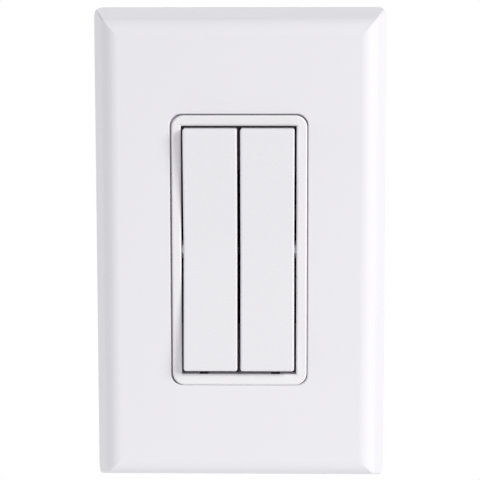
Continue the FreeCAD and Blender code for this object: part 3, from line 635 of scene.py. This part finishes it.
for cutter in (arm.outputs["Mesh"], crossing.outputs["Geometry"]):
    tree.links.new(cutter, recess.inputs["Mesh 2"])

# %% Thread, and a screw at each post
SPIRAL_STEPS = 20
DIAMOND_SIDES = 4
PAIR = 2
helix = add(tree, "GeometryNodeCurveSpiral", {
    "Resolution": SPIRAL_STEPS, "Rotations": given["Turns"], "Start Radius": given["Root"],
    "End Radius": given["Root"], "Height": given["Run"]})
upright = add(tree, "GeometryNodeSetCurveNormal", {"Curve": helix.outputs["Curve"]}, mode="Z_UP")
diamond = add(tree, "GeometryNodeCurvePrimitiveCircle", {
    "Resolution": DIAMOND_SIDES, "Radius": given["Crest"]})
thread = add(tree, "GeometryNodeCurveToMesh", {
    "Curve": upright.outputs["Curve"], "Profile Curve": diamond.outputs["Curve"], "Fill Caps": True})
thread = add(tree, "GeometryNodeTransform", {
    "Geometry": thread.outputs["Mesh"], "Rotation": (QUARTER_TURN, 0.0, 0.0),
    "Translation": (0.0, -(HEAD_HIGH + THREAD_GAP) * MM, 0.0)})
screw = add(tree, "GeometryNodeJoinGeometry", {"Geometry": recess.outputs["Mesh"]})
tree.links.new(thread.outputs["Geometry"], screw.inputs["Geometry"])
posts = add(tree, "GeometryNodeMeshLine", {
    "Count": PAIR, "Start Location": given["First"], "Offset": given["Step"]})
pair = add(tree, "GeometryNodeInstanceOnPoints", {
    "Points": posts.outputs["Mesh"], "Instance": screw.outputs["Geometry"]})
end_tree(tree, pair.outputs["Instances"], zinc)
stands_for(grown("frame_screws_cut", screw_blank, tree, screw_sizes), "frame_screws")

# %% [markdown]
# ## Bow rivets
# The leaf spring is held on the armature by two small rivets. Upsetting leaves a low dome. A squashed
# ball could stand for it, but the head is a turned shape too, so the same helper makes it, and the tree
# only has to set one blank twice.

# %% Bow rivets, sizes in millimetres
lo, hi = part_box("bow_rivets")
RIVET_HEAD_R = hi[0] / MM
RIVET_R = 0.4
RIVET_DOME = 0.2
front = lo[1] / MM
seat = front + RIVET_DOME
foot = hi[1] / MM
rivet_blank = turned("rivet_blank", [
    *rounded(0, RIVET_HEAD_R, front, seat), (RIVET_R, seat), (RIVET_R, foot), (0, foot)])
rivet_sizes = {"First": (0.0, 0.0, lo[2] + hi[0]), "Step": (0.0, 0.0, hi[2] - lo[2] - 2 * hi[0])}
tree, given = new_tree("row_of_two", rivet_sizes)
row = add(tree, "GeometryNodeMeshLine", {
    "Count": PAIR, "Start Location": given["First"], "Offset": given["Step"]})
pair = add(tree, "GeometryNodeInstanceOnPoints", {
    "Points": row.outputs["Mesh"], "Instance": given["Start"]})
end_tree(tree, pair.outputs["Instances"], brass)
stands_for(grown("bow_rivets_upset", rivet_blank, tree, rivet_sizes), "bow_rivets")

# %% [markdown]
# ## Mounting plate
# Pins push a moulding out of its tool and leave shallow round marks on its hidden side. Relief in the
# material could show them, but a bump has no true edge. So a grid of short cylinders is cut out of the
# copy and leaves them on the back that lies on the wall.

# %% Mounting plate with ejector marks
MARKS_ACROSS = 3
MARKS_ALONG = 4
MARK_SIDES = 32
mark_sizes = {"Radius": 2.0 * MM, "Sunk": 0.2 * MM, "Across": 48.0 * MM, "Along": 96.0 * MM}
tree, given = new_tree("ejector_marks", mark_sizes)
grid = add(tree, "GeometryNodeMeshGrid", {
    "Size X": given["Across"], "Size Y": given["Along"],
    "Vertices X": MARKS_ACROSS, "Vertices Y": MARKS_ALONG})
grid = add(tree, "GeometryNodeTransform", {
    "Geometry": grid.outputs["Mesh"], "Rotation": (QUARTER_TURN, 0.0, 0.0)})
deep = add(tree, "ShaderNodeMath", {0: given["Sunk"], 1: 2.0}, operation="MULTIPLY").outputs[0]
pin = add(tree, "GeometryNodeMeshCylinder", {
    "Vertices": MARK_SIDES, "Radius": given["Radius"], "Depth": deep})
pins = add(tree, "GeometryNodeInstanceOnPoints", {
    "Points": grid.outputs["Geometry"], "Instance": pin.outputs["Mesh"],
    "Rotation": (QUARTER_TURN, 0.0, 0.0)})
solid_pins = add(tree, "GeometryNodeRealizeInstances", {"Geometry": pins.outputs["Instances"]})
marked = add(tree, "GeometryNodeMeshBoolean", {
    "Mesh 1": given["Start"]}, operation="DIFFERENCE", solver="EXACT")
tree.links.new(solid_pins.outputs["Geometry"], marked.inputs["Mesh 2"])
end_tree(tree, marked.outputs["Mesh"], mount_plastic)
stands_for(grown("mounting_plate_skin", welded("mounting_plate"), tree, mark_sizes), "mounting_plate")

# %% [markdown]
# ## Solder
# The board's parts stand in small mounds of solder, and each track ends in one. Every mound could be
# modelled by its part, but they are all alike: points along the edges of the parts and at the ends of the
# tracks carry one flattened ball each.

# %% Routes of the tracks
# Corners in millimetres of x and z, from one part to the next.
routes = [
    [(9.3, 14.1), (6.0, 14.1), (5.5, 14.6), (-5.5, 14.6), (-6.5, 13.6), (-9.7, 13.6)],
    [(9.3, 15.1), (6.5, 15.1), (6.0, 15.6), (-9.7, 15.6)],
    [(-8.2, 13.6), (-7.6, 13.0), (-7.6, -13.2), (-8.4, -14.0), (-9.8, -14.0)],
    [(-9.8, -15.0), (-6.0, -15.0), (-5.2, -14.2), (-3.0, -14.2)],
    [(3.0, -14.2), (6.4, -14.2), (7.6, -13.0), (7.6, 12.4), (8.6, 13.4), (9.3, 13.4)],
    [(10.4, -13.0), (8.4, -11.0), (8.4, 11.2), (9.6, 12.4)],
    [(12.8, -13.0), (15.0, -10.8), (15.0, 11.0), (13.6, 12.4)],
]
print("routes:", len(routes))

# %% Solder points round the parts
PAD_PITCH = 0.5
pads_on_edge = {"radio_chip": 6, "crystal": 2, "rectifier": 2}


def along_edges(node, count):
    """Evenly spaced points, in millimetres of x and z, on all four edges of a part."""
    (x0, _, z0), (x1, _, z1) = ([v / MM for v in corner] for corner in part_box(node))
    steps = [(i - (count - 1) / 2) * PAD_PITCH for i in range(count)]
    mid_x = (x0 + x1) / 2
    mid_z = (z0 + z1) / 2
    upright = [(x, mid_z + s) for s in steps for x in (x0, x1)]
    return upright + [(mid_x + s, z) for s in steps for z in (z0, z1)]


spots = [spot for node, count in pads_on_edge.items() for spot in along_edges(node, count)]
spots += [route[0] for route in routes] + [route[-1] for route in routes]
print("solder spots:", len(spots))

# %% Solder mounds
MOUND_R_MM = 0.19
MOUND_HIGH_MM = 0.14
BALL_SPLITS = 2
board_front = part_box("circuit_board")[0][1]
dots = bpy.data.meshes.new("solder_spots")
dots.from_pydata([(x * MM, board_front, z * MM) for x, z in spots], [], [])
solder_sizes = {"Mound": (MOUND_R_MM * MM, MOUND_HIGH_MM * MM, MOUND_R_MM * MM)}
tree, given = new_tree("solder_mounds", solder_sizes)
ball = add(tree, "GeometryNodeMeshIcoSphere", {"Radius": 1.0, "Subdivisions": BALL_SPLITS})
mounds = add(tree, "GeometryNodeInstanceOnPoints", {
    "Points": given["Start"], "Instance": ball.outputs["Mesh"], "Scale": given["Mound"]})
end_tree(tree, mounds.outputs["Instances"], tin)
solder = grown("solder_mounds", dots, tree, solder_sizes)
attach(solder, "housing")

# %% [markdown]
# ## Tracks
# Copper tracks join the parts and turn in bevelled corners. They could be painted into the board's
# material, but under the lacquer they stand a little proud and catch the light. So a flat ribbon is swept
# along each route and turned to lie on the board.

# %% Tracks
corners = [corner for route in routes for corner in route]
starts = [sum(len(r) for r in routes[:i]) for i in range(len(routes))]
links = [(s + i, s + i + 1) for s, r in zip(starts, routes) for i in range(len(r) - 1)]
lines = bpy.data.meshes.new("track_lines")
lines.from_pydata([(x * MM, z * MM, 0.0) for x, z in corners], links, [])
track_sizes = {"Width": 0.3 * MM, "Thick": 0.07 * MM, "Front": (0.0, board_front, 0.0)}
tree, given = new_tree("printed_tracks", track_sizes)
path = add(tree, "GeometryNodeMeshToCurve", {"Mesh": given["Start"]})
path = add(tree, "GeometryNodeSetCurveNormal", {"Curve": path.outputs["Curve"]}, mode="Z_UP")
ribbon = add(tree, "GeometryNodeCurvePrimitiveQuadrilateral", {
    "Width": given["Width"], "Height": given["Thick"]})
track = add(tree, "GeometryNodeCurveToMesh", {
    "Curve": path.outputs["Curve"], "Profile Curve": ribbon.outputs["Curve"], "Fill Caps": True})
laid = add(tree, "GeometryNodeTransform", {
    "Geometry": track.outputs["Mesh"], "Rotation": (QUARTER_TURN, 0.0, 0.0), "Translation": given["Front"]})
end_tree(tree, laid.outputs["Geometry"], track_copper)
tracks = grown("printed_tracks", lines, tree, track_sizes)
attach(tracks, "housing")

# %% [markdown]
# ## Floor
# A pale floor lies well below the switch, so that the light from below is white. It could be lit until it
# looks white itself, but then the switch would be lit harder too. Instead the camera, mirrors and glass
# see it with a glow of its own, which lights nothing.

# %% Floor
FLOOR_Z = -0.5
FLOOR_HALF = 0.4


def seen_directly(tree):
    """1 for rays from the camera, mirrors and glass, 0 for rays that gather light."""
    ray = add(tree, "ShaderNodeLightPath").outputs
    seen = ray["Is Camera Ray"]
    for other_ray in ("Is Glossy Ray", "Is Transmission Ray"):
        seen = add(tree, "ShaderNodeMath", {0: seen, 1: ray[other_ray]}, operation="MAXIMUM").outputs[0]
    return seen


# Painted board: an even matt white.
floor_paint, tree = new_material("board_painted_white")
paint = add(tree, "ShaderNodeBsdfDiffuse", {"Color": linear("#F0F0F0")})
lift = add(tree, "ShaderNodeEmission", {"Strength": seen_directly(tree), "Color": linear("#9C9C9C")})
both = add(tree, "ShaderNodeAddShader", {0: paint.outputs["BSDF"], 1: lift.outputs["Emission"]})
add(tree, "ShaderNodeOutputMaterial", {"Surface": both.outputs["Shader"]})
sheet = bpy.data.meshes.new("floor")
square = [(-1, -1), (1, -1), (1, 1), (-1, 1)]
sheet.from_pydata([(x * FLOOR_HALF, y * FLOOR_HALF, FLOOR_Z) for x, y in square], [], [(0, 1, 2, 3)])
sheet.materials.append(floor_paint)
placed("floor", sheet)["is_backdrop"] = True
print("floor at", FLOOR_Z)

# %% [markdown]
# ## Sky
# An even sky fills the shadows, as the walls of a white studio do. A panorama could light the switch as
# well, but one plain level is easier to balance. Seen directly the sky is pure white.

# %% Sky
SKY_LEVEL = 0.445
SEEN_LEVEL = 1.0
world = bpy.data.worlds.new("studio")
bpy.context.scene.world = world
world.use_nodes = True
tree = world.node_tree
tree.nodes.clear()
level = add(tree, "ShaderNodeMapRange", {
    "Value": seen_directly(tree), "To Min": SKY_LEVEL, "To Max": SEEN_LEVEL})
sky = add(tree, "ShaderNodeBackground", {
    "Color": linear("#FFFFFF"), "Strength": level.outputs["Result"]})
add(tree, "ShaderNodeOutputWorld", {"Surface": sky.outputs["Background"]})
print("sky level:", SKY_LEVEL)

# %% [markdown]
# ## Lamps
# One large soft lamp, a little warm, stands on the right, in front and above: it whitens the right edge
# and throws the shadow of the raised rocker ends on the bezel. A sun would throw harder shadows than a
# studio does. A weak lamp on the left keeps that edge readable, another below stands for the light that a
# white sweep throws back, and one behind is there for the side that lies on the wall.

# %% Lamps
KEY_LEVEL = 13.9
FILL_LEVEL = 1.42
BOUNCE_LEVEL = 0.52
BACK_LEVEL = 8.0


def soft_lamp(name, toward, away, size, level, shape, colour="#FFFFFF"):
    """A lamp in this direction from the switch, facing it; level is the brightness of its face."""
    light = bpy.data.lights.new(name, "AREA")
    light.color = linear(colour)[:3]
    light.shape = shape
    light.size = size
    area = math.pi * (size / 2) ** 2 if shape == "DISK" else size ** 2
    light.energy = level * math.pi * area
    lamp = bpy.data.objects.new(name, light)
    direction = Vector(toward).normalized()
    lamp.location = direction * away
    lamp.rotation_euler = direction.to_track_quat("Z", "Y").to_euler()
    lamp.visible_camera = False
    bpy.context.scene.collection.objects.link(lamp)
    print(name, "watts:", round(light.energy, 2))


soft_lamp("key", toward=(0.785, -0.565, 0.38), away=1.5, size=0.7, level=KEY_LEVEL, shape="DISK",
          colour="#FFFEFB")
soft_lamp("fill", toward=(-0.95, -0.25, 0.0), away=1.0, size=0.8, level=FILL_LEVEL, shape="SQUARE")
soft_lamp("bounce", toward=(0.0, -0.5, -0.8), away=0.36, size=0.4, level=BOUNCE_LEVEL, shape="SQUARE")
soft_lamp("back", toward=(-0.1, 1.0, 0.2), away=1.2, size=0.5, level=BACK_LEVEL, shape="DISK")

# %% [markdown]
# ## Camera
# The camera stands where the picture was taken. It could be set by eye, but a fit to the plate's outline
# and the bezel's opening is closer: 466 mm from the wall, 7.8 degrees above and 1.3 degrees to the right,
# with a long lens.

# %% Camera
AIM = Vector((-0.158, 0.0, 1.096)) * MM
AWAY = 466.19 * MM
AROUND = math.radians(1.295)
ABOVE = math.radians(7.772)
ROLL = math.radians(-0.093)
FOCAL_PX = 1860.67
PHOTO_PX = 480
SENSOR_MM = 36.0
NEAREST = 0.01
back = Vector((math.sin(AROUND) * math.cos(ABOVE), -math.cos(AROUND) * math.cos(ABOVE), math.sin(ABOVE)))
right = Vector((math.cos(AROUND), math.sin(AROUND), 0.0))
up = back.cross(right)
rolled_right = right * math.cos(ROLL) + up * math.sin(ROLL)
rolled_up = up * math.cos(ROLL) - right * math.sin(ROLL)
lens = bpy.data.cameras.new("camera")
lens.sensor_width = SENSOR_MM
lens.lens = FOCAL_PX * SENSOR_MM / PHOTO_PX
lens.clip_start = NEAREST
camera = bpy.data.objects.new("camera", lens)
axes = Matrix((rolled_right, rolled_up, back)).transposed().to_4x4()
camera.matrix_world = Matrix.Translation(AIM + back * AWAY) @ axes
bpy.context.scene.collection.objects.link(camera)
bpy.context.scene.camera = camera
bpy.context.scene.view_settings.view_transform = "Standard"
print("lens:", round(lens.lens, 2))

# %% [markdown]
# ## Boxes
# The box round the solids and the box round the dressed switch are printed together.

# %% Boxes
sizes = {"cad": [list(corner) for corner in cad_box], "visual": [list(corner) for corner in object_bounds()]}
print("sizes:", sizes)
